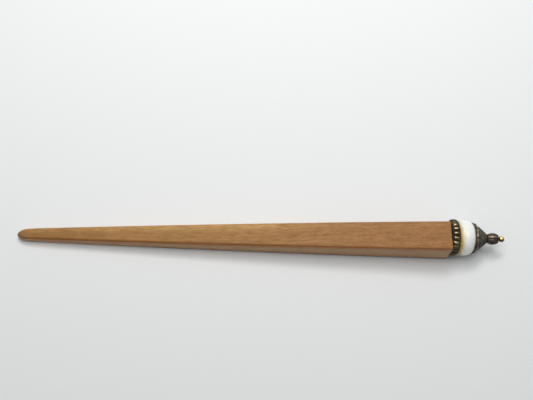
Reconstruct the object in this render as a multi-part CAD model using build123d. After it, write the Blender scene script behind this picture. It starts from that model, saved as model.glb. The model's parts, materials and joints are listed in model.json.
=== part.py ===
from build123d import *
import os
from math import asin, atan2, cos, degrees, pi, sin, tan

# A wooden hair pin: a tapered square shank with a stack of beads on a ball-headed wire at its thick end.
# Millimetres. Each piece is modelled along +X, then laid down as the pin rests on a table.

# Shank
SHANK_LENGTH = 146.5
HEAD_SIDE = 10.0            # the shank is square at the bead end
TIP_WIDTH = 3.5
TIP_THICKNESS = 3.3
SIDE_SWELL = 0.37           # how far each long side bows outwards, halfway along
ARRIS_RADIUS = 0.6
END_EDGE_RADIUS = 0.3
NOSE_LENGTH = 5.5           # the rounded point, an ellipse turned about the shank's axis
NOSE_RADIUS = 2.3

# Wire, glue and the hole for them
WIRE_RADIUS = 0.45
BALL_RADIUS = 1.05
WIRE_GRIP = 20.0            # length of wire inside the shank
BORE_RADIUS = 0.8
BORE_SPARE = 1.0            # glue beyond the end of the wire
STACK_OFFSET = 0.95         # the hole is off the shank's middle, in +Y ...
STACK_LEAN = 1.5            # ... and drilled a little askew, in degrees

# Fits
RUNNING_CLEARANCE = 0.05    # radial, between the wire and what turns on it
AXIAL_GAP = 0.05            # between two beads
SEAT_GAP = 0.2              # between the shank and the leaning ring

# Ribbed spacer ring
RING_WIDTH = 2.5
RING_RADIUS = 6.25          # over the ribs
RING_CROWN = 0.65           # the ribs are this much lower at the ring's two faces
RIB_COUNT = 22
RIB_RADIUS = 0.6
RIB_HEIGHT = 0.7
LOBE_TRIM = 0.02            # ribs and lobes are cut back by this much to the barrel that crowns them

# White bead
BEAD_RADIUS = 5.97
BEAD_SHOULDER = 2.4         # length of the turned-in edge beside the ring
BEAD_SHOULDER_DROP = 0.6
BEAD_NOSE = 4.35            # length of the long rounded side under the cap
BEAD_END_RADIUS = 1.5

# Cone cap
CAP_RIM_AT = 5.05           # from the ring's outer face to the rim of the cap
CAP_RADIUS = 5.27
CAP_LENGTH = 4.9
CAP_APEX_RADIUS = 1.45
CAP_SWELL = 0.3             # how far the cone bows outwards, halfway along
CAP_WALL = 0.35
CAP_TIP = 1.0               # solid metal at the apex, around the wire
LIP_RADIUS = 0.16
RIDGE_SHARE = 0.17          # how far along the side the ridge is, from the rim
RIDGE_RADIUS = 0.28
RIDGE_BARS = 9
RIDGE_NOTCH = 0.4

# Melon bead
MELON_LENGTH = 3.8
MELON_RADIUS = 2.04
MELON_END_RADIUS = 1.35
MELON_LOBES = 8

# Stations along the wire, measured from the shank's end face
RING_AT = SEAT_GAP
BEAD_AT = RING_AT + RING_WIDTH + AXIAL_GAP
CAP_AT = RING_AT + RING_WIDTH + CAP_RIM_AT
MELON_AT = CAP_AT + CAP_LENGTH + AXIAL_GAP
BALL_AT = MELON_AT + MELON_LENGTH + AXIAL_GAP + BALL_RADIUS
HOLE_RADIUS = WIRE_RADIUS + RUNNING_CLEARANCE

# How the pin lies: on two ribs of the spacer ring and on the underside of its point
REST_AT = 0.3 * NOSE_LENGTH
REST_HALF_THICKNESS = (TIP_THICKNESS + (HEAD_SIDE - TIP_THICKNESS) * REST_AT / SHANK_LENGTH) / 2
RING_MIDDLE = SHANK_LENGTH + RING_AT + RING_WIDTH / 2
RING_FOOT = (RING_RADIUS - RIB_RADIUS) * cos(pi / RIB_COUNT) + RIB_RADIUS
REST_TILT = atan2(RING_FOOT - REST_HALF_THICKNESS, RING_MIDDLE - REST_AT)
REST_HEIGHT = REST_HALF_THICKNESS * cos(REST_TILT) - REST_AT * sin(REST_TILT)
OVERALL_LENGTH = SHANK_LENGTH + BALL_AT + BALL_RADIUS

ON_TABLE = Pos(-OVERALL_LENGTH / 2, -STACK_OFFSET, REST_HEIGHT) * Rot(0, -degrees(REST_TILT), 0)
ON_WIRE = ON_TABLE * Pos(SHANK_LENGTH, STACK_OFFSET, 0) * Rot(0, 0, -STACK_LEAN)


def rod(radius, start, end):
    """A cylinder along X."""
    return frustum(radius, radius, start, end)


def frustum(start_radius, end_radius, start, end):
    """A cylinder or cone along X."""
    middle = Pos((start + end) / 2, 0, 0) * Rot(0, 90, 0)
    if start_radius == end_radius:
        return middle * Cylinder(start_radius, end - start)
    return middle * Cone(start_radius, end_radius, end - start)


def turned(*outline):
    """A solid turned about X from its outer outline, with flat ends."""
    points = sorted((edge @ t for edge in outline for t in (0, 1)), key=lambda point: point.X)
    left = points[0]
    right = points[-1]
    ends = [Line(point, (point.X, 0)) for point in (left, right) if point.Y > 0]
    return revolve(make_face([*outline, *ends, Line((left.X, 0), (right.X, 0))]), Axis.X)


def lobed_bar(core_radius, lobe_radius, outer_radius, lobes, start, end):
    """A bar along X whose section is a disc with round lobes all round it, two of them lowest."""
    section = Circle(core_radius)
    for n in range(lobes):
        turn = Rot(0, 0, 360 * (n + 0.5) / lobes)
        section += turn * Pos(0, outer_radius - lobe_radius, 0) * Circle(lobe_radius)
    return Pos(start, 0, 0) * extrude(Plane.YZ * section, end - start)


def barrel(end_radius, middle_radius, start, end):
    """A solid turned about X from one bowed arc."""
    middle = ((start + end) / 2, middle_radius)
    return turned(ThreePointArc((start, end_radius), middle, (end, end_radius)))


def wooden_shank():
    """Square and tapered: bowed sides, flat top and underside, softened arrises and a rounded point."""
    half_head = HEAD_SIDE / 2
    half_tip = TIP_WIDTH / 2
    middle = Vector(SHANK_LENGTH / 2, (half_head + half_tip) / 2 + SIDE_SWELL)
    left = ThreePointArc((0, half_tip), middle, (SHANK_LENGTH, half_head))
    right = ThreePointArc((SHANK_LENGTH, -half_head), (middle.X, -middle.Y), (0, -half_tip))
    plan = make_face([left, Line(left @ 1, right @ 0), right, Line(right @ 1, left @ 0)])

    half_tip = TIP_THICKNESS / 2
    corners = [(0, half_tip), (SHANK_LENGTH, half_head), (SHANK_LENGTH, -half_head), (0, -half_tip)]
    profile = Plane.XZ * make_face(Polyline(*corners, close=True))
    shank = extrude(plan, HEAD_SIDE, both=True) & extrude(profile, HEAD_SIDE, both=True)

    long_edges = shank.edges().filter_by(lambda edge: edge.length > SHANK_LENGTH / 2)
    shank = fillet(long_edges, ARRIS_RADIUS)
    shank = fillet(shank.faces().sort_by(Axis.X)[-1].edges(), END_EDGE_RADIUS)
    nose = turned(EllipticalCenterArc((NOSE_LENGTH, 0), NOSE_LENGTH, NOSE_RADIUS, 90, arc_size=90))
    shank &= nose + frustum(NOSE_RADIUS, HEAD_SIDE, NOSE_LENGTH, SHANK_LENGTH)
    return ON_TABLE * shank - ON_WIRE * rod(BORE_RADIUS, -WIRE_GRIP - BORE_SPARE, SEAT_GAP)


def glue_plug():
    """Cured glue that fills the hole round the wire and past its end."""
    plug = rod(BORE_RADIUS, -WIRE_GRIP - BORE_SPARE, -END_EDGE_RADIUS)
    return ON_WIRE * (plug - rod(WIRE_RADIUS, -WIRE_GRIP, 0))


def ball_head_pin():
    """One wire with a ball formed on its outer end."""
    wire = rod(WIRE_RADIUS, -WIRE_GRIP, BALL_AT)
    return ON_WIRE * (wire + Pos(BALL_AT, 0, 0) * Sphere(BALL_RADIUS))


def ribbed_spacer_ring():
    """A disc with round ribs along its rim, crowned like a barrel."""
    end = RING_AT + RING_WIDTH
    ribs = lobed_bar(RING_RADIUS - RIB_HEIGHT, RIB_RADIUS, RING_RADIUS + LOBE_TRIM, RIB_COUNT, RING_AT, end)
    ring = ribs & barrel(RING_RADIUS - RING_CROWN, RING_RADIUS, RING_AT, end)
    return ON_WIRE * (ring - rod(HOLE_RADIUS, RING_AT, end))


def white_bead():
    """Full and nearly square-edged beside the ring, long and rounded under the cap."""
    widest = BEAD_AT + BEAD_SHOULDER
    corner = (widest, BEAD_RADIUS - BEAD_SHOULDER_DROP)
    cut_off = degrees(asin(BEAD_END_RADIUS / BEAD_RADIUS))
    shoulder = EllipticalCenterArc(corner, BEAD_SHOULDER, BEAD_SHOULDER_DROP, 90, arc_size=90)
    side = EllipticalCenterArc((widest, 0), BEAD_NOSE, BEAD_RADIUS, cut_off, arc_size=90 - cut_off)
    return ON_WIRE * (turned(shoulder, side) - rod(HOLE_RADIUS, BEAD_AT, widest + BEAD_NOSE))


def cone_cap():
    """A thin metal cone with a rolled rim and a raised ridge broken into bars."""
    apex = CAP_AT + CAP_LENGTH
    slope = (CAP_RADIUS - CAP_APEX_RADIUS) / CAP_LENGTH
    inner_radius = CAP_RADIUS - CAP_WALL * (1 + slope**2) ** 0.5
    hollow_end = apex - CAP_TIP
    hollow_end_radius = inner_radius - slope * (hollow_end - CAP_AT)
    middle = (CAP_AT + CAP_LENGTH / 2, (CAP_RADIUS + CAP_APEX_RADIUS) / 2 + CAP_SWELL)
    side = ThreePointArc((CAP_AT, CAP_RADIUS), middle, (apex, CAP_APEX_RADIUS))
    hollow = frustum(inner_radius, hollow_end_radius, CAP_AT, hollow_end)

    lip = Pos(CAP_AT + LIP_RADIUS, 0, 0) * Rot(0, 90, 0) * Torus(CAP_RADIUS - LIP_RADIUS, LIP_RADIUS)
    ridge_at, ridge_radius = (side @ RIDGE_SHARE).X, (side @ RIDGE_SHARE).Y
    ridge = Pos(ridge_at, 0, 0) * Rot(0, 90, 0) * Torus(ridge_radius, RIDGE_RADIUS)
    for n in range(RIDGE_BARS):
        notch = Pos(ridge_at, 0, ridge_radius) * Box(4 * RIDGE_RADIUS, RIDGE_NOTCH, 4 * RIDGE_RADIUS)
        ridge -= Rot(360 * (n + 0.5) / RIDGE_BARS, 0, 0) * notch
    return ON_WIRE * ((turned(side) + lip + ridge) - hollow - rod(HOLE_RADIUS, CAP_AT, apex))


def melon_bead():
    """A small barrel with round lobes along it."""
    end = MELON_AT + MELON_LENGTH
    lobe_top = MELON_RADIUS + LOBE_TRIM
    lobe_radius = MELON_RADIUS * tan(pi / MELON_LOBES)
    lobes = lobed_bar(lobe_top - lobe_radius, lobe_radius, lobe_top, MELON_LOBES, MELON_AT, end)
    bead = lobes & barrel(MELON_END_RADIUS, MELON_RADIUS, MELON_AT, end)
    return ON_WIRE * (bead - rod(HOLE_RADIUS, MELON_AT, end))


os.makedirs("parts", exist_ok=True)
for piece in (
    wooden_shank,
    glue_plug,
    ball_head_pin,
    ribbed_spacer_ring,
    white_bead,
    cone_cap,
    melon_bead,
):
    export_step(piece(), f"parts/{piece.__name__}.step")
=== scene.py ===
import json
from math import cos, pi, radians, sin, sqrt

import bpy
import numpy as np
from mathutils import Matrix, Vector, noise
from mathutils.bvhtree import BVHTree


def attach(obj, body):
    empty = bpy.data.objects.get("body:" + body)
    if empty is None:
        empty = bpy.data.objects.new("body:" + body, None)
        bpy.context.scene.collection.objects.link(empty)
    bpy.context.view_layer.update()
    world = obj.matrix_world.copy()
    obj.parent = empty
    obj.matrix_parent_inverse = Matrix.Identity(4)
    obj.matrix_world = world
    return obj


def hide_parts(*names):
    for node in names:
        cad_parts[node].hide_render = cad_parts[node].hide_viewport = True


# A wooden hair pin: a tapered square shank, and a stack of beads on a ball-headed wire at its thick end.
# Metres, in the row frame. Every piece and its material are made along the piece's own X, in its own place.

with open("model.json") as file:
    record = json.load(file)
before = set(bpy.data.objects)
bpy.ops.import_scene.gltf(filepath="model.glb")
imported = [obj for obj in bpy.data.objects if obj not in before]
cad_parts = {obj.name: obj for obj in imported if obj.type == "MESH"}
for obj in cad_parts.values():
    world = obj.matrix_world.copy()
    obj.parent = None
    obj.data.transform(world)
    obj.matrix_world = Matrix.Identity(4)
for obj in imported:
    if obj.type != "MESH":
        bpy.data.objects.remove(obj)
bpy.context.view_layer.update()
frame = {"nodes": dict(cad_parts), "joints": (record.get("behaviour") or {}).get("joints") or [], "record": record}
JOINTS = {joint["child"]: joint for joint in frame["joints"]}
MOUNTS = {mount["name"]: mount for mount in frame["record"]["mounts"]}
MM = 0.001


# ---------------------------------------------------------------- places and sizes, from the frame


def lying_along(direction, origin):
    """A place whose X runs along direction, with Z as upright as it can be."""
    x = Vector(direction).normalized()
    z = x.cross(Vector((0, 1, 0))).normalized()
    y = z.cross(x)
    return Matrix.Translation(origin) @ Matrix((x, y, z)).transposed().to_4x4()


def points_in(place, node):
    """The vertices of a CAD node, measured in a place."""
    inverse = place.inverted()
    return np.array([inverse @ vertex.co for vertex in frame["nodes"][node].data.vertices])


class Spun:
    """What a CAD node that is turned about the wire measures: its place, two ends and radii."""

    def __init__(self, node, origin):
        self.place = lying_along(JOINTS["bead"]["axis"], origin)
        points = points_in(self.place, node)
        self.x = points[:, 0]
        self.r = np.hypot(points[:, 1], points[:, 2])
        self.start = self.x.min()
        self.end = self.x.max()
        self.length = self.end - self.start
        self.radius = self.r.max()
        self.hole = self.r.min()

    def radius_at(self, x):
        """The largest radius among the vertices near one station."""
        near = 0.05 * MM
        return self.r[abs(self.x - x) < near].max()

    def widest(self):
        """The station of the largest radius."""
        return self.x[self.r.argmax()]


RING = Spun("ribbed_spacer_ring", JOINTS["spacer_ring"]["pos_m"])
BEAD = Spun("white_bead", JOINTS["bead"]["pos_m"])
CAP = Spun("cone_cap", JOINTS["cap"]["pos_m"])
MELON = Spun("melon_bead", JOINTS["melon"]["pos_m"])
PIN = Spun("ball_head_pin", JOINTS["spacer_ring"]["pos_m"])
PLUG = Spun("glue_plug", JOINTS["spacer_ring"]["pos_m"])

SLIDE = MOUNTS["shank_in_hair"]
SHANK_PLACE = lying_along(-Vector(SLIDE["axis"]), SLIDE["pos_m"])


class Shank:
    """What the CAD shank measures: its length, and how its half width and half height run along it."""

    def __init__(self):
        node = frame["nodes"]["wooden_shank"]
        points = points_in(SHANK_PLACE, "wooden_shank")
        faces = [tuple(polygon.vertices) for polygon in node.data.polygons]
        self.solid = BVHTree.FromPolygons([tuple(point) for point in points], faces)
        self.length = points[:, 0].max()
        plain = np.linspace(0.1, 0.85, 16) * self.length  # stations clear of the point and of the hole
        self.width_curve = np.polyfit(plain, [self.reach(x, (0, -1, 0)) for x in plain], 2)
        self.height_curve = np.polyfit(plain, [self.reach(x, (0, 0, 1)) for x in plain], 1)
        self.head_side = 2 * self.half_height(self.length)

    def reach(self, x, direction):
        """How far the solid's surface is from the shank's axis, in one direction."""
        outside = Vector(direction) * self.length
        hit = self.solid.ray_cast(Vector((x, 0, 0)) + outside, -outside)
        return self.length - hit[3]

    def half_width(self, x):
        return np.polyval(self.width_curve, x)

    def half_height(self, x):
        return np.polyval(self.height_curve, x)


SHANK = Shank()


# ---------------------------------------------------------------- meshes


def smooth(value, low, high):
    """From 0 at low to 1 at high, with soft ends. It takes numbers and arrays."""
    share = np.clip((value - low) / (high - low), 0, 1)
    return share * share * (3 - 2 * share)


def wander(x, seed, pitch):
    """A number that wanders between about -1 and 1 as x goes by, once or so per pitch."""
    return noise.noise(Vector((x / pitch, seed, 0.5)))


def rounded(corners, steps=5):
    """An outline through corners given as (x, radius, rounding), each rounded off by that much."""
    outline = []
    for n, (x, r, rounding) in enumerate(corners):
        corner = np.array((x, r))
        if rounding == 0:
            outline.append(corner)
            continue
        before = np.array(corners[n - 1][:2]) - corner
        after = np.array(corners[(n + 1) % len(corners)][:2]) - corner
        first = corner + before * min(rounding / np.hypot(*before), 0.5)
        last = corner + after * min(rounding / np.hypot(*after), 0.5)
        for t in np.linspace(0, 1, steps):
            outline.append((1 - t) ** 2 * first + 2 * t * (1 - t) * corner + t * t * last)
    return outline


def divided(outline, step, closed=True):
    """The outline as an array, with its long edges divided so that none is longer than step."""
    corners = [np.array(corner) for corner in outline]
    following = corners[1:] + corners[:1] if closed else corners[1:]
    points = []
    for here, there in zip(corners, following):
        parts = max(1, int(np.ceil(np.hypot(*(there - here)) / step)))
        points += [here + (there - here) * n / parts for n in range(parts)]
    return np.array(points if closed else points + [corners[-1]])


def tube_faces(rows, count, closed):
    """Faces between rows of count points each. Closed also joins the last row to the first."""
    faces = []
    for row in range(rows if closed else rows - 1):
        here = row * count
        above = (row + 1) % rows * count
        for n in range(count):
            after = (n + 1) % count
            faces.append((here + n, here + after, above + after, above + n))
    return faces


def end_faces(rows, count):
    """Fans from a tube's first and last rows to its two ends, which are numbered after its rows."""
    first = rows * count
    last = first + 1
    top = (rows - 1) * count
    faces = []
    for n in range(count):
        after = (n + 1) % count
        faces.append((first, after, n))
        faces.append((last, top + n, top + after))
    return faces


def mesh_piece(name, vertices, faces, place, material, **attributes):
    """A smooth piece from its mesh, put in place, with number attributes that its material reads."""
    mesh = bpy.data.meshes.new(name)
    mesh.from_pydata([tuple(vertex) for vertex in vertices], [], faces)
    mesh.transform(place)
    mesh.shade_smooth()
    for key, values in attributes.items():
        mesh.attributes.new(key, "FLOAT", "POINT").data.foreach_set("value", np.float32(values))
    mesh.materials.append(material)
    mesh.validate()
    piece = bpy.data.objects.new(name, mesh)
    bpy.context.scene.collection.objects.link(piece)
    return piece


def turned(name, outline, around, place, material, relief=None, closed=True):
    """A piece turned about X from an outline of (x, radius) points.

    A closed outline makes a ring. An open one starts and ends on the axis.
    relief(x, radius, angle) gives the real radius and how worn the surface is there, from 0 to 1, with painted
    light for the side that faces up mixed in.
    """
    body = outline if closed else outline[1:-1]
    angle = 2 * pi * np.arange(around) / around
    x = np.repeat(body[:, 0][:, None], around, axis=1)
    r = np.repeat(body[:, 1][:, None], around, axis=1)
    wear = np.zeros_like(r)
    if relief:
        r, wear = relief(x, r, np.broadcast_to(angle, r.shape))
    vertices = np.stack((x, r * np.sin(-angle), r * np.cos(angle)), axis=-1).reshape(-1, 3)
    wear = wear.reshape(-1)
    faces = tube_faces(len(body), around, closed)
    if not closed:
        ends = [(outline[0][0], 0, 0), (outline[-1][0], 0, 0)]
        vertices = np.vstack((vertices, ends))
        wear = np.append(wear, [0, 0])
        faces += end_faces(len(body), around)
    return mesh_piece(name, vertices, faces, place, material, wear=wear)


# ---------------------------------------------------------------- materials


class Recipe:
    """A procedural material. Each method adds a node and gives back its output."""

    def __init__(self, name, place=Matrix()):
        self.place = place
        self.material = bpy.data.materials.new(name)
        self.material.use_nodes = True
        self.tree = self.material.node_tree
        self.shader = self.tree.nodes["Principled BSDF"]

    def plug(self, socket, value):
        """Joins an output to a socket, or sets the socket to a number, a vector or a colour."""
        if isinstance(value, bpy.types.NodeSocket):
            self.tree.links.new(value, socket)
        elif socket.type == "RGBA":
            socket.default_value = (*value, 1)
        else:
            socket.default_value = value

    def node(self, kind, inputs, output=0, **settings):
        """Adds a node of one kind, with its inputs by name or number, and gives back one output."""
        made = self.tree.nodes.new("ShaderNode" + kind)
        for key, value in settings.items():
            setattr(made, key, value)
        for key, value in inputs.items():
            self.plug(made.inputs[key], value)
        return made.outputs[output]

    def finish(self, **sockets):
        """Sets the shader's sockets, named with underscores for spaces."""
        for key, value in sockets.items():
            self.plug(self.shader.inputs[key.replace("_", " ")], value)
        return self.material

    def millimetres(self, turn=(0, 0, 0)):
        """The place on the piece, in millimetres along its own axes, turned a little if need be."""
        origin, rotation, _ = self.place.decompose()
        inputs = {"Vector": self.node("TexCoord", {}, "Object"), "Location": origin, "Scale": [MM] * 3}
        inputs["Rotation"] = rotation.to_euler()
        local = self.node("Mapping", inputs, vector_type="TEXTURE")
        return self.node("Mapping", {"Vector": local, "Rotation": turn})

    def stretched(self, place, scale):
        """The place with each axis scaled: a small scale draws a pattern out along that axis."""
        return self.node("VectorMath", {0: place, 1: scale}, operation="MULTIPLY")

    def along(self, place):
        """How far along the piece's own X a place is."""
        return self.node("SeparateXYZ", {0: place}, "X")

    def noise(self, place, scale=1.0, detail=2.0, roughness=0.5, distortion=0.0):
        inputs = {"Vector": place, "Scale": scale, "Detail": detail}
        return self.node("TexNoise", inputs | {"Roughness": roughness, "Distortion": distortion})

    def attribute(self, name):
        """A number that the piece's mesh carries at each vertex."""
        return self.node("Attribute", {}, "Fac", attribute_name=name)

    def ramp(self, value, low, high, start=0.0, end=1.0):
        """From start to end as value goes from low to high, with soft ends."""
        inputs = {"Value": value, "From Min": low, "From Max": high, "To Min": start, "To Max": end}
        return self.node("MapRange", inputs, interpolation_type="SMOOTHSTEP")

    def math(self, operation, a, b=0.0):
        return self.node("Math", {0: a, 1: b}, operation=operation)

    def mix(self, share, a, b):
        """Colour a where share is 0, and colour b where it is 1."""
        colour_a, colour_b, colour_out = 6, 7, 2
        return self.node("Mix", {0: share, colour_a: a, colour_b: b}, colour_out, data_type="RGBA")

    def bump(self, height, depth, strength):
        """A relief whose height of 0 to 1 stands for depth in metres."""
        return self.node("Bump", {"Height": height, "Distance": depth, "Strength": strength})


def wood_grain(wood, place):
    """Where a point lies in the grain, which drifts sideways as it runs along the shank."""
    drift = wood.noise(wood.stretched(place, (0.035, 0.25, 0.25)), detail=1)
    sideways = {"Y": wood.math("MULTIPLY", drift, 3.0), "Z": wood.math("MULTIPLY", drift, 2.0)}
    shift = wood.node("CombineXYZ", sideways)
    return wood.node("VectorMath", {0: place, 1: shift}, operation="ADD")


def wood_curl(wood, x, length):
    """The mottled figure that slants across the grain, stronger towards the head."""
    slant = wood.millimetres(turn=(0, 0, radians(34)))
    curl = wood.noise(wood.stretched(slant, (0.65, 1.5, 1.0)), detail=2, distortion=0.8)
    figured = wood.ramp(x, 0.45 * length, 0.9 * length, 0.25, 1.0)
    return wood.math("MULTIPLY", wood.ramp(curl, 0.36, 0.64), figured)


def wood_tone(wood, grain, x, length, front):
    """The wood's colour: broad streaks, redder towards the head, and paler towards the far side. The paler front
    face is painted light, not the wood's own colour.
    """
    streaks = wood.noise(wood.stretched(grain, (0.014, 0.6, 0.6)), detail=3, roughness=0.55)
    colour = wood.mix(wood.ramp(streaks, 0.3, 0.7), (0.312, 0.141, 0.032), (0.435, 0.215, 0.056))
    colour = wood.mix(wood.ramp(x, 0.45 * length, length, 0.0, 0.65), colour, (0.345, 0.136, 0.035))
    curl = wood.math("MULTIPLY", wood_curl(wood, x, length), 0.5)
    colour = wood.mix(curl, colour, (0.268, 0.106, 0.027))
    # Paler towards the far side (+Y), most along the middle of the shank.
    paler_far_side = wood.ramp(wood.attribute("across"), -0.1, 0.9)
    paler_far_side = wood.math("MULTIPLY", paler_far_side, wood.ramp(x, 0.05 * length, 0.4 * length, 0.35, 0.75))
    paler_far_side = wood.math("MULTIPLY", paler_far_side, wood.ramp(x, 0.55 * length, 0.8 * length, 1.0, 0.2))
    colour = wood.mix(paler_far_side, colour, (0.64, 0.360, 0.117))
    # Painted light: the front face gets a paler colour, so it looks more lit than the lamps make it.
    return wood.mix(front, colour, (0.68, 0.395, 0.155))


def wood_stain_and_shade(wood, place, x, length, front, colour):
    """The colour with the dark, uneven line along the arrises, partly staining and partly painted shade, and
    darker at the point.
    """
    uneven = wood.noise(wood.stretched(place, (0.09, 0.5, 0.5)), detail=2)
    uneven = wood.ramp(uneven, 0.3, 0.7, 0.75, 1.0)
    # Staining and painted shade along the arrises: darkest on the upper front one, which faces the dim side.
    arris_stain_and_shade = wood.math("MULTIPLY", uneven, wood.ramp(x, 0, length, 0.85, 1.0))
    arris_stain_and_shade = wood.math("MULTIPLY", wood.attribute("arris"), arris_stain_and_shade)
    # On the front face this dark colour is paler and redder: painted light, as that face is lit less.
    stain_and_shade = wood.mix(front, (0.205, 0.070, 0.004), (0.53, 0.160, 0.001))
    colour = wood.mix(arris_stain_and_shade, colour, stain_and_shade)
    return wood.mix(wood.ramp(x, 0, 0.03 * length, 0.35, 0.0), colour, (0.14, 0.070, 0.028))


def oiled_wood():
    """Fine fruit wood: long fibres, fine pale hairs and dark pores over its tone, and then the dark arrises,
    partly staining and partly painted shade.
    """
    wood = Recipe("oiled_wood", SHANK_PLACE)
    length = SHANK.length / MM
    x = wood.along(wood.millimetres())
    place = wood.millimetres(turn=(0, radians(0.8), radians(-1.6)))
    grain = wood_grain(wood, place)
    # Where the front face is, 0.55 on its flat: it paints light on that face, and gives the arris colour there its
    # paler front version.
    front = wood.ramp(wood.attribute("across"), -1.0, -0.96, 0.55, 0.0)

    fibres = wood.noise(wood.stretched(grain, (0.26, 1.45, 1.45)), detail=5, roughness=0.62)
    hairs = wood.noise(wood.stretched(grain, (0.5, 9.0, 9.0)), detail=2)
    pores = wood.ramp(wood.noise(wood.stretched(grain, (0.42, 6.5, 6.5)), detail=1), 0.60, 0.72)
    colour = wood_tone(wood, grain, x, length, front)
    colour = wood.mix(wood.ramp(fibres, 0.25, 0.70, 0.46, 0.0), colour, (0.150, 0.060, 0.012))
    colour = wood.mix(wood.ramp(hairs, 0.45, 0.75, 0.0, 0.25), colour, (0.56, 0.30, 0.09))
    colour = wood.mix(wood.math("MULTIPLY", pores, 0.4), colour, (0.120, 0.050, 0.012))

    height = wood.math("SUBTRACT", fibres, wood.math("MULTIPLY", pores, 0.6))
    return wood.finish(
        Base_Color=wood_stain_and_shade(wood, place, x, length, front, colour),
        Roughness=wood.ramp(fibres, 0.3, 0.7, 0.70, 0.56),
        Specular_IOR_Level=0.4,
        Sheen_Weight=0.32,
        Sheen_Roughness=0.4,
        Normal=wood.bump(height, 0.03 * MM, 0.6),
    )


def antique_metal(name, place, recess, patina, crest, bare_from, bare_to, smoothest=0.33):
    """Cast metal, dark in its recesses and worn bare on its crests, with painted light from the mesh's number:
    barer and lighter on the side that faces up.
    """
    metal = Recipe(name, place)
    point = metal.millimetres()
    cloud = metal.noise(point, scale=1.1, detail=4, roughness=0.6)
    grit = metal.noise(point, scale=9.0, detail=3, roughness=0.6)
    # The mesh's number is how worn the crests are, with painted light mixed in: the side that faces up is painted
    # barer, the lower side darker.
    worn = metal.math("ADD", metal.attribute("wear"), metal.ramp(cloud, 0.3, 0.7, -0.22, 0.22))
    worn = metal.math("ADD", worn, metal.ramp(grit, 0.3, 0.7, -0.12, 0.12))
    bare = metal.ramp(worn, bare_from, bare_to)
    colour = metal.mix(metal.ramp(worn, 0.05, 0.5), recess, patina)
    colour = metal.mix(bare, colour, crest)
    return metal.finish(
        Base_Color=colour,
        Metallic=metal.ramp(worn, 0.0, 0.5, 0.35, 1.0),
        Roughness=metal.ramp(worn, 0.0, 0.9, 0.62, smoothest),
        Normal=metal.bump(grit, 0.012 * MM, 0.5),
    )


def white_glaze():
    """Glossy opaque white, stained amber where it meets the ring; the darkest band next to the ring is partly
    amber staining and partly painted shade and a painted reflection of the ring.
    """
    glaze = Recipe("white_glaze", BEAD.place)
    place = glaze.millimetres()
    start = BEAD.start / MM
    radius = BEAD.radius / MM
    ragged = glaze.noise(place, scale=0.45, detail=3)
    x = glaze.math("ADD", glaze.along(place), glaze.ramp(ragged, 0.3, 0.7, -0.25, 0.25))
    side = glaze.node("SeparateXYZ", {0: place}, "Y")
    # The amber is strongest on the near (-Y) side and fades towards the far side.
    toward_near_side = glaze.ramp(side, -0.3 * radius, 0.75 * radius, 1.0, 0.25)
    cloud = glaze.noise(place, scale=0.35, detail=3)
    yellow = glaze.math("MULTIPLY", toward_near_side, glaze.ramp(x, start + 0.6, start + 2.1, 0.85, 0.0))
    # The darkest band next to the ring: partly amber staining, partly painted shade and a painted reflection of
    # the ring.
    brown = glaze.math("MULTIPLY", toward_near_side, glaze.ramp(x, start + 0.2, start + 1.1, 0.95, 0.0))
    colour = glaze.mix(glaze.ramp(cloud, 0.35, 0.65), (0.90, 0.90, 0.885), (0.95, 0.95, 0.93))
    colour = glaze.mix(yellow, colour, (0.76, 0.61, 0.23))
    colour = glaze.mix(brown, colour, (0.42, 0.24, 0.06))
    specks = glaze.noise(place, scale=5.0, detail=1)
    colour = glaze.mix(glaze.ramp(specks, 0.74, 0.8, 0.0, 0.35), colour, (0.45, 0.38, 0.28))
    return glaze.finish(
        Base_Color=colour,
        Roughness=glaze.ramp(cloud, 0.3, 0.7, 0.24, 0.34),
        Normal=glaze.bump(glaze.noise(place, scale=0.8, detail=1), 0.03 * MM, 0.5),
    )


def polished_brass():
    """Drawn and polished brass with fine scratches and a little tarnish, and painted shade where the mesh's number
    is low.
    """
    brass = Recipe("polished_brass", PIN.place)
    place = brass.millimetres()
    scratches = brass.noise(brass.stretched(place, (18, 2.5, 2.5)), detail=3, roughness=0.7)
    tarnish = brass.noise(place, scale=1.6, detail=4)
    colour = brass.mix(brass.ramp(tarnish, 0.5, 0.75), (0.90, 0.74, 0.36), (0.55, 0.36, 0.13))
    # Painted shade: where the mesh's number is low, on the wire, the neck and the ball's lower side, the brass
    # turns dull and dark.
    colour = brass.mix(brass.attribute("wear"), (0.20, 0.12, 0.05), colour)
    return brass.finish(
        Base_Color=colour,
        Metallic=1.0,
        Roughness=brass.ramp(scratches, 0.3, 0.7, 0.20, 0.32),
        Normal=brass.bump(scratches, 0.004 * MM, 0.4),
    )


def cured_glue():
    """Clear amber epoxy with small bubbles."""
    glue = Recipe("cured_glue", PLUG.place)
    place = glue.millimetres()
    cloud = glue.noise(place, scale=0.8, detail=3)
    bubbles = glue.node("TexVoronoi", {"Vector": place, "Scale": 3.0}, "Distance")
    colour = glue.mix(glue.ramp(cloud, 0.3, 0.7), (0.50, 0.36, 0.16), (0.72, 0.60, 0.36))
    colour = glue.mix(glue.ramp(bubbles, 0.1, 0.2, 0.5, 0.0), colour, (0.85, 0.78, 0.58))
    return glue.finish(
        Base_Color=colour,
        Roughness=glue.ramp(cloud, 0.3, 0.7, 0.12, 0.3),
        Transmission_Weight=0.3,
        Normal=glue.bump(bubbles, 0.05 * MM, 0.4),
    )


def pale_card():
    """The floor: matt and nearly white."""
    card = Recipe("pale_card")
    mottle = card.noise(card.millimetres(), scale=0.05, detail=2)
    return card.finish(
        Base_Color=card.mix(mottle, (0.795, 0.805, 0.805), (0.805, 0.812, 0.815)),
        Roughness=0.9,
        Specular_IOR_Level=0.2,
    )


# ---------------------------------------------------------------- the shank

QUARTERS = ((1, 1), (-1, 1), (-1, -1), (1, -1))  # the signs of y and z at each arris, in turn
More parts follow.
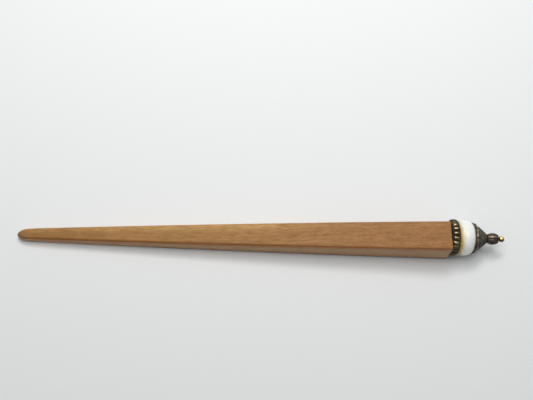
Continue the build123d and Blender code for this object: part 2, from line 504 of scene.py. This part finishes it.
# How dark each arris is painted: partly staining, partly painted shade, most on the upper front arris, which faces
# the dim side.
STAIN_AND_SHADE = (0.1, 1.0, 0.6, 0.4)  # how stained each arris is: the upper front one is the most
ARRIS = 0.036 * SHANK.head_side
SOFT_ARRIS = 1.5
CRISP_ARRIS = 1.15
UNEVEN_ARRIS = 0.25
# How far the staining and painted shade reach from an arris, onto the top and bottom and down the sides.
TOP_STAIN_AND_SHADE = 0.03 * SHANK.head_side
SIDE_STAIN_AND_SHADE = 0.22 * SHANK.head_side
CORNER_STEPS = 7
FLAT_STEPS = 14
END_EDGE = 0.03 * SHANK.head_side
NOSE_LENGTH = 0.55 * SHANK.head_side
NOSE_RADIUS = 0.23 * SHANK.head_side
NOSE_FLARE = 0.5
NOSE_BLEND = 0.12 * MM
HOLE_PLACE = SHANK_PLACE.inverted() @ PLUG.place
HOLE_GAP = 0.02 * MM


def arris_rounding(x, quarter):
    """The radius of one arris: soft towards the point, crisper at the head, and a little uneven."""
    crisp = smooth(x, 0.3 * SHANK.length, 0.8 * SHANK.length)
    share = SOFT_ARRIS + (CRISP_ARRIS - SOFT_ARRIS) * crisp
    return ARRIS * (share + UNEVEN_ARRIS * wander(x, quarter + 3.3, 12 * MM))


def arris_points(side, up, corner_y, corner_z, rounding):
    """Points round one arris, in the order in which the outline passes them."""
    turns = np.linspace(0, pi / 2, CORNER_STEPS)
    if side != up:
        turns = turns[::-1]
    return [(side * (corner_y + rounding * cos(t)), up * (corner_z + rounding * sin(t))) for t in turns]


def flat_points(start, end, stains_and_shade, fade):
    """Points across a flat, closest beside its arrises, and how dark they are painted by staining and shade before
    that fades.
    """
    share = smooth(np.linspace(0, 1, FLAT_STEPS + 2)[1:-1], 0, 1)
    reach = np.minimum(share, 1 - share) * np.hypot(*(end - start))
    stain_and_shade = np.where(share < 0.5, *stains_and_shade) * (1 - smooth(reach, 0.3 * fade, fade))
    return start + np.outer(share, end - start), stain_and_shade


def shank_section(x, inset):
    """The shank's outline at one station, as (y, z) points, and how dark each point is painted by staining and
    shade.
    """
    half_width = SHANK.half_width(x) - inset
    half_height = SHANK.half_height(x) - inset
    points = []
    stain_and_shade = []
    for quarter, (side, up) in enumerate(QUARTERS):
        following = (quarter + 1) % len(QUARTERS)
        next_side, next_up = QUARTERS[following]
        rounding = arris_rounding(x, quarter)
        corner_y = half_width - rounding
        corner_z = half_height - rounding
        points += arris_points(side, up, corner_y, corner_z, rounding)
        stain_and_shade += [STAIN_AND_SHADE[quarter]] * CORNER_STEPS
        start_y, start_z = points[-1]
        end_y = next_side * corner_y if next_side != side else start_y
        end_z = next_up * corner_z if next_up != up else start_z
        ends = np.array(((start_y, start_z), (end_y, end_z)))
        fade = SIDE_STAIN_AND_SHADE if side == next_side else TOP_STAIN_AND_SHADE
        flat, flat_stain_and_shade = flat_points(*ends, (STAIN_AND_SHADE[quarter], STAIN_AND_SHADE[following]), fade)
        points += [tuple(point) for point in flat]
        stain_and_shade += list(flat_stain_and_shade)
    return np.array(points), np.array(stain_and_shade)


def inside_nose(points, x):
    """The section drawn in to the rounded point of the shank, with no hard line where the two meet."""
    if x >= NOSE_LENGTH:
        limit = NOSE_RADIUS + (x - NOSE_LENGTH) * NOSE_FLARE
    else:
        limit = NOSE_RADIUS * sqrt(1 - (1 - x / NOSE_LENGTH) ** 2)
    reach = np.hypot(points[:, 0], points[:, 1])
    softness = min(NOSE_BLEND, 0.1 * limit)
    gap = np.maximum(softness - abs(reach - limit), 0) / softness
    drawn = np.minimum(reach, limit) - gap * gap * softness / 4
    return points * (drawn / reach)[:, None]


def shank_stations():
    """Stations along the shank with how far its end edge draws in: close together at both ends."""
    nose = [NOSE_LENGTH * (1 - cos(turn)) for turn in np.linspace(0, pi / 2, 24)[1:]]
    body = np.linspace(NOSE_LENGTH, SHANK.length - END_EDGE, 300)[1:]
    turns = np.linspace(0, pi / 2, 6)[1:]
    edge = [(SHANK.length - END_EDGE * (1 - sin(turn)), END_EDGE * (1 - cos(turn))) for turn in turns]
    return [(x, 0) for x in nose] + [(x, 0) for x in body] + edge


def hole_row(x, spokes):
    """Points round the glue's hole at one station along it, at these angles."""
    reach = PLUG.radius
    ring = [HOLE_PLACE @ Vector((x, reach * cos(spoke), reach * sin(spoke))) for spoke in spokes]
    return np.array(ring)


def build_shank():
    """The shank's skin from its point to its end face, and then down its hole."""
    rows = []
    stains_and_shade = []
    for x, inset in shank_stations():
        section, stain_and_shade = shank_section(x, inset)
        section = inside_nose(section, x)
        rows.append(np.column_stack((np.full(len(section), x), section)))
        stains_and_shade.append(stain_and_shade * smooth(x, 0.2 * NOSE_LENGTH, 1.5 * NOSE_LENGTH))

    outline = rows[-1]
    spokes = np.arctan2(outline[:, 2], outline[:, 1])
    mouth = hole_row(PLUG.end, spokes)
    mouth[:, 0] = SHANK.length
    for share in np.linspace(0, 1, 9)[1:]:
        rows.append(outline + (mouth - outline) * share)
        stains_and_shade.append(0.7 * stains_and_shade[-1])
    for x in np.linspace(PLUG.end, PLUG.start, 6):
        rows.append(hole_row(x - HOLE_GAP, spokes))
        stains_and_shade.append(np.zeros(len(spokes)))

    ends = [(0, 0, 0), tuple(HOLE_PLACE @ Vector((PLUG.start - HOLE_GAP, 0, 0)))]
    vertices = np.vstack([*rows, ends])
    faces = tube_faces(len(rows), len(spokes), closed=False) + end_faces(len(rows), len(spokes))
    stain_and_shade = np.concatenate([*stains_and_shade, [0, 0]])
    across = vertices[:, 1] / np.maximum(SHANK.half_width(vertices[:, 0]), ARRIS)
    return mesh_piece("wood_shank", vertices, faces, SHANK_PLACE, oiled_wood(), arris=stain_and_shade, across=across)


# ---------------------------------------------------------------- the stack


def painted_lit_side(angle, facing, least=0.45):
    """Painted light around a turned piece's axis: full on the side that faces the given angle, up towards the
    lamps, and down to the least elsewhere, which paints shade on the lower side.
    """
    side = np.cos(angle - radians(facing))
    return least + (1 - least) * smooth(side, cos(radians(48)), cos(radians(30)))


RIB_COUNT = 22
RIB_TURN = radians(-4.1)
RIB_GAP = 0.12
RIB_CORE = RING.radius - 0.75 * MM
RIB_CREST = RING.radius - 0.06 * MM


def ring_relief(x, r, angle):
    """Round ribs all round the rim, down to a core, with narrow gaps between them."""
    swing = abs(np.cos(RIB_COUNT / 2 * (angle + RIB_TURN)))
    rib = np.clip((swing - RIB_GAP) / (1 - RIB_GAP), 0, 1) ** 0.7
    proud = np.maximum(r - RIB_CORE, 0)
    # Worn crests, with painted light on the side that faces up; the rib ends beside the shank and the bead fall to
    # dark patina and painted shade.
    wear = rib * smooth(proud / (RING.radius - RIB_CORE), 0.3, 0.85) * painted_lit_side(angle, 8)
    return np.where(r > RIB_CORE, RIB_CORE + proud * rib, r), wear


def build_ring():
    """A cast ring, crowned like a barrel, with ribs along its rim and a shallow dish in each face."""
    face_radius = RING.radius_at(RING.end)
    half = RING.length / 2
    middle = (RING.start + RING.end) / 2
    crown = []
    for share in np.linspace(-0.94, 0.94, 19):
        swell = 1 - abs(share) ** 2.6
        crown.append((middle + half * share, face_radius + (RIB_CREST - face_radius) * swell, 0))
    rim = face_radius - 0.1 * MM
    soft = 0.2 * MM
    deep = 0.12 * MM
    dish = [
        (0, face_radius - 1.0 * MM),
        (deep, face_radius - 1.3 * MM),
        (deep, RING.hole + 1.2 * MM),
        (0, RING.hole + 0.9 * MM),
    ]
    corners = [
        (RING.start, rim, soft),
        *crown,
        (RING.end, rim, soft),
        *((RING.end - depth, radius, soft) for depth, radius in dish),
        (RING.end, RING.hole, soft / 2),
        (RING.start, RING.hole, soft / 2),
        *((RING.start + depth, radius, soft) for depth, radius in reversed(dish)),
    ]
    outline = divided(rounded(corners), 0.35 * MM)
    return turned("spacer_ring", outline, RIB_COUNT * 16, RING.place, ANTIQUE_BRASS, ring_relief)


def build_bead():
    """Full and nearly square-edged beside the ring, long and rounded under the cap."""
    widest = BEAD.widest()
    shoulder = widest - BEAD.start
    face = BEAD.radius_at(BEAD.start)
    drop = BEAD.radius - face
    nose = (BEAD.end - widest) / sqrt(1 - (BEAD.radius_at(BEAD.end) / BEAD.radius) ** 2)
    outline = [
        (BEAD.start, BEAD.hole),
        (BEAD.start, face - 0.25 * MM),
        (BEAD.start + 0.02 * MM, face - 0.1 * MM),
    ]
    for turn in np.linspace(radians(8), pi / 2, 24):
        outline.append((widest - shoulder * cos(turn), face + drop * sin(turn)))
    for turn in np.linspace(0, pi / 2, 60)[1:]:
        x = widest + (BEAD.end - widest) * sin(turn)
        outline.append((x, BEAD.radius * sqrt(1 - ((x - widest) / nose) ** 2)))
    outline.append((BEAD.end, BEAD.hole))
    return turned("glazed_bead", divided(outline, 0.5 * MM), 144, BEAD.place, white_glaze())


APEX_RADIUS = CAP.radius_at(CAP.end)
CAP_SLOPE = (CAP.radius - APEX_RADIUS) / CAP.length
CAP_WALL = 0.35 * MM * sqrt(1 + CAP_SLOPE * CAP_SLOPE)
CAP_SWELL = 0.3 * MM
GROOVE = CAP.start + 0.36 * MM
RIDGE = CAP.start + 0.82 * MM
PAST_RIDGE = CAP.start + 1.30 * MM
RIDGE_BARS = 9
NOTCH_TURN = radians(17.6)
LATTICE_END = CAP.end - 0.25 * MM
LATTICE_COUNT = 40
LATTICE_PITCH = 0.62 * MM
LATTICE_DEPTH = 0.16 * MM


def cap_inner(x):
    """The radius of the cone's inner side at one station."""
    return CAP.radius - CAP_SLOPE * (x - CAP.start) - CAP_WALL


def cap_side(x, proud=0.0):
    """The radius of the cone's outer side at one station, which swells a little between its ends."""
    share = (x - CAP.start) / CAP.length
    return cap_inner(x) + CAP_WALL + CAP_SWELL * 4 * share * (1 - share) + proud


def cap_lattice(x, r, angle):
    """A small diamond lattice of studs cast into the cone above its ridge."""
    across = LATTICE_COUNT / 2 * angle
    along = pi * (x - PAST_RIDGE) / LATTICE_PITCH
    stud = abs(np.sin(across + along) * np.sin(across - along))
    band = smooth(x, PAST_RIDGE, PAST_RIDGE + 0.25 * MM)
    band = band * (1 - smooth(x, LATTICE_END - 0.3 * MM, LATTICE_END))
    outside = r > CAP.hole + 0.5 * MM
    sunk = LATTICE_DEPTH * (1 - stud) * band * outside
    return r - sunk, np.where(band > 0, 0.8 * stud * band, 0.3)


def cap_relief(x, r, angle):
    """The lattice, and the ridge under it broken into bars by small notches."""
    radius, wear = cap_lattice(x, r, angle)
    turn = ((angle - NOTCH_TURN) / (2 * pi) * RIDGE_BARS + 0.5) % 1
    from_notch = abs(turn - 0.5) * 2 * pi * cap_side(RIDGE) / RIDGE_BARS
    bar = smooth(from_notch, 0.14 * MM, 0.40 * MM)
    on_ridge = np.exp(-(((x - RIDGE) / (0.36 * MM)) ** 2)) * (r > cap_side(x) - 0.01 * MM)
    proud = np.maximum(r - cap_side(x), 0) * on_ridge
    radius = np.where(on_ridge > 0.05, r - proud * (1 - bar), radius)
    wear = np.where(on_ridge > 0.3, 0.2 + 0.8 * bar * np.clip(proud / (0.2 * MM), 0, 1), wear)
    # Painted light: the side that faces up is painted barer and lighter, the lower side darker.
    wear = wear * painted_lit_side(angle, -5)
    return radius, np.where(r < cap_inner(x) + 0.2 * CAP_WALL, 0.2, wear)


def build_cap():
    """A thin cone with a rolled rim, a raised ridge broken into bars, and a studded side."""
    rim = CAP.start + 0.3 * MM
    ridge_foot = RIDGE - 0.26 * MM
    ridge_top = RIDGE + 0.22 * MM
    ceiling = CAP.end - 1.0 * MM
    side = np.linspace(PAST_RIDGE + 0.3 * MM, CAP.end - 0.3 * MM, 12)
    corners = [
        (CAP.start, cap_inner(CAP.start), 0.1 * MM),
        (CAP.start, cap_side(CAP.start, -0.02 * MM), 0.14 * MM),
        (rim, cap_side(rim, 0.02 * MM), 0.14 * MM),
        (GROOVE, cap_side(GROOVE, -0.1 * MM), 0.1 * MM),
        (ridge_foot, cap_side(ridge_foot, 0.14 * MM), 0.12 * MM),
        (ridge_top, cap_side(ridge_top, 0.26 * MM), 0.12 * MM),
        (PAST_RIDGE, cap_side(PAST_RIDGE, -0.06 * MM), 0.12 * MM),
        *((x, cap_side(x), 0) for x in side),
        (CAP.end, APEX_RADIUS, 0.15 * MM),
        (CAP.end, CAP.hole, 0.08 * MM),
        (ceiling, CAP.hole, 0.08 * MM),
        (ceiling, cap_inner(ceiling), 0.2 * MM),
    ]
    outline = divided(rounded(corners), 0.1 * MM)
    return turned("studded_cone_cap", outline, 432, CAP.place, CAP_METAL, cap_relief)


MELON_LOBES = 8
MELON_TURN = radians(-5.5)
MELON_GROOVE = 0.24 * MM
MELON_MIDDLE = (MELON.start + MELON.end) / 2
MELON_END_RADIUS = MELON.radius_at(MELON.end)


def melon_relief(x, r, angle):
    """Round lobes with narrow grooves between them, which run out before the collars."""
    half = MELON.length / 2
    swing = abs(np.cos(MELON_LOBES / 2 * (angle - MELON_TURN)))
    depth = MELON_GROOVE * (1 - swing**0.6)
    lobed = 1 - smooth(abs(x - MELON_MIDDLE), 0.8 * half, 0.97 * half)
    share = np.clip((r - MELON.hole) / (MELON_END_RADIUS - MELON.hole), 0, 1)
    # Worn lobes, with painted light: the side that faces up is painted lighter, the lower side darker.
    wear = np.clip(swing * lobed * 0.95, 0, 1) * (share > 0.8) * painted_lit_side(angle, -18, least=0.6)
    return r - depth * lobed * share, wear


def build_melon():
    """A small barrel with round lobes along it and a plain collar at each end."""
    half = MELON.length / 2
    crown = []
    for share in np.linspace(-0.9, 0.9, 21):
        swell = (MELON.radius - MELON_END_RADIUS) * (1 - share * share)
        crown.append((MELON_MIDDLE + half * share, MELON_END_RADIUS + swell, 0))
    corners = [
        (MELON.start, MELON.hole, 0.08 * MM),
        (MELON.start, MELON_END_RADIUS - 0.1 * MM, 0.25 * MM),
        *crown,
        (MELON.end, MELON_END_RADIUS - 0.1 * MM, 0.25 * MM),
        (MELON.end, MELON.hole, 0.08 * MM),
    ]
    outline = divided(rounded(corners), 0.15 * MM)
    return turned("melon_bead_lobed", outline, 160, MELON.place, BRONZE, melon_relief)


def build_pin():
    """One wire with a ball formed on its outer end."""
    ball = PIN.radius
    centre = PIN.end - ball
    wire = PIN.radius_at(PIN.start)
    neck = np.arcsin(1.15 * wire / ball)
    joint = centre - ball * cos(neck)
    outline = [
        (PIN.start, 0),
        (PIN.start, wire - 0.1 * MM),
        (PIN.start + 0.1 * MM, wire),
        (joint - 0.18 * MM, wire),
        (joint - 0.06 * MM, 1.04 * wire),
    ]
    for turn in np.linspace(neck, pi, 60)[:-1]:
        outline.append((centre - ball * cos(turn), ball * sin(turn)))
    outline.append((PIN.end, 0))
    spaced = divided(outline, 0.8 * MM, closed=False)

    def relief(x, r, angle):
        """No relief. Painted shade: the wire, the neck and the lower, back side of the ball are painted dull and
        dark, and the side of the ball that faces up keeps its polished colour.
        """
        return r, painted_lit_side(angle, -20, least=0.1) * smooth(x, joint - 0.3 * MM, centre - 0.4 * ball)

    return turned("ball_headed_wire", spaced, 72, PIN.place, polished_brass(), relief, closed=False)


ANTIQUE_BRASS = antique_metal(
    "antique_brass",
    RING.place,
    recess=(0.030, 0.026, 0.016),
    patina=(0.11, 0.095, 0.058),
    crest=(0.46, 0.35, 0.20),
    bare_from=0.60,
    bare_to=1.15,
)
CAP_METAL = antique_metal(
    "antique_brass_cap",
    CAP.place,
    recess=(0.030, 0.026, 0.018),
    patina=(0.20, 0.175, 0.135),
    crest=(0.86, 0.76, 0.42),
    bare_from=0.55,
    bare_to=1.0,
)
BRONZE = antique_metal(
    "antique_bronze",
    MELON.place,
    recess=(0.030, 0.024, 0.018),
    patina=(0.105, 0.083, 0.064),
    crest=(0.32, 0.25, 0.175),
    bare_from=0.5,
    bare_to=1.05,
    smoothest=0.5,
)

for build, body, node, slot in (
    (build_shank, "stick", "wooden_shank", "wood"),
    (build_pin, "stick", "ball_head_pin", "polished_brass"),
    (build_ring, "spacer_ring", "ribbed_spacer_ring", "antique_brass"),
    (build_bead, "bead", "white_bead", "white_glaze"),
    (build_cap, "cap", "cone_cap", "antique_brass"),
    (build_melon, "melon", "melon_bead", "antique_bronze"),
):
    piece = build()
    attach(piece, body)
    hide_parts(node)

plug = frame["nodes"]["glue_plug"]
plug.data.materials.clear()
plug.data.materials.append(cured_glue())


# ---------------------------------------------------------------- floor, lights and camera


def build_floor():
    """A plain card, far larger than the view."""
    reach = 1.5
    corners = [(side * reach, up * reach, 0) for side, up in ((-1, -1), (1, -1), (1, 1), (-1, 1))]
    mesh = bpy.data.meshes.new("floor")
    mesh.from_pydata(corners, [], [(0, 1, 2, 3)])
    mesh.materials.append(pale_card())
    floor = bpy.data.objects.new("floor", mesh)
    bpy.context.scene.collection.objects.link(floor)


def soft_light(name, elevation, distance, size, look_back, share, colour):
    """A square panel behind the pin, towards +Y, that gives the floor under the pin a share of its light.

    It looks at a point on the floor that is this far behind the pin, so the light falls off towards -Y.
    """
    place = Vector((0, cos(radians(elevation)), sin(radians(elevation)))) * distance
    normal = (Vector((0, look_back, 0)) - place).normalized()
    facing = -normal.dot(place) / distance
    lamp = bpy.data.lights.new(name, "AREA")
    lamp.size = size
    # The floor gets energy * facing * sin(elevation) / (pi * distance ** 2), and a full share of that is pi.
    lamp.energy = share * (pi * distance) ** 2 / sin(radians(elevation)) / facing
    lamp.color = colour
    panel = bpy.data.objects.new(name, lamp)
    panel.matrix_world = Matrix.Translation(place) @ normal.to_track_quat("-Z", "Y").to_matrix().to_4x4()
    panel.visible_camera = False
    bpy.context.scene.collection.objects.link(panel)


def ambient(share):
    """The room's own light: full from above and from behind the pin, and dim from the viewer's side."""
    world = bpy.data.worlds.new("studio")
    world.use_nodes = True
    nodes = world.node_tree.nodes
    links = world.node_tree.links
    background = nodes["Background"]
    direction = nodes.new("ShaderNodeTexCoord").outputs["Generated"]
    lift = nodes.new("ShaderNodeVectorMath")
    lift.operation = "DOT_PRODUCT"
    lift.inputs[1].default_value = (0, 0.6, 0.8)
    links.new(direction, lift.inputs[0])
    room = nodes.new("ShaderNodeMapRange")
    room.interpolation_type = "SMOOTHSTEP"
    room.inputs["From Min"].default_value = -0.35
    room.inputs["From Max"].default_value = 0.75
    room.inputs["To Min"].default_value = 0.28
    room.inputs["To Max"].default_value = 1.35
    links.new(lift.outputs["Value"], room.inputs["Value"])
    strength = nodes.new("ShaderNodeMath")
    strength.operation = "MULTIPLY"
    strength.inputs[1].default_value = share
    links.new(room.outputs["Result"], strength.inputs[0])
    links.new(strength.outputs["Value"], background.inputs["Strength"])
    background.inputs["Color"].default_value = (0.99, 1.0, 1.0, 1)
    bpy.context.scene.world = world


def build_camera():
    """The camera looks down from in front of the pin, turned and rolled as the photograph's outline says."""
    data = bpy.data.cameras.new("camera")
    data.lens = 45.0
    data.sensor_width = 36.0
    data.clip_start = 0.01
    camera = bpy.data.objects.new("camera", data)
    # These were found by fitting the outline of the CAD model to the pin in the photograph.
    elevation = radians(67.98)
    azimuth = radians(0.66)
    roll = radians(1.89)
    target = Vector((2.27, 14.57, 0)) * MM
    distance = 235.6 * MM
    flat = distance * cos(elevation)
    place = target + Vector((-flat * sin(azimuth), -flat * cos(azimuth), distance * sin(elevation)))
    look = (target - place).to_track_quat("-Z", "Y").to_matrix().to_4x4()
    camera.matrix_world = Matrix.Translation(place) @ look @ Matrix.Rotation(roll, 4, "Z")
    bpy.context.scene.collection.objects.link(camera)
    bpy.context.scene.camera = camera


build_floor()
soft_light(
    "key",
    elevation=62,
    distance=0.48,
    size=0.16,
    look_back=0.32,
    share=0.31,
    colour=(1.0, 0.99, 0.98),
)
soft_light(
    "overhead",
    elevation=80,
    distance=0.64,
    size=0.50,
    look_back=0.68,
    share=0.395,
    colour=(0.98, 1.0, 1.0),
)
ambient(share=0.235)
build_camera()
bpy.context.scene.view_settings.view_transform = "Standard"

bpy.context.view_layer.update()
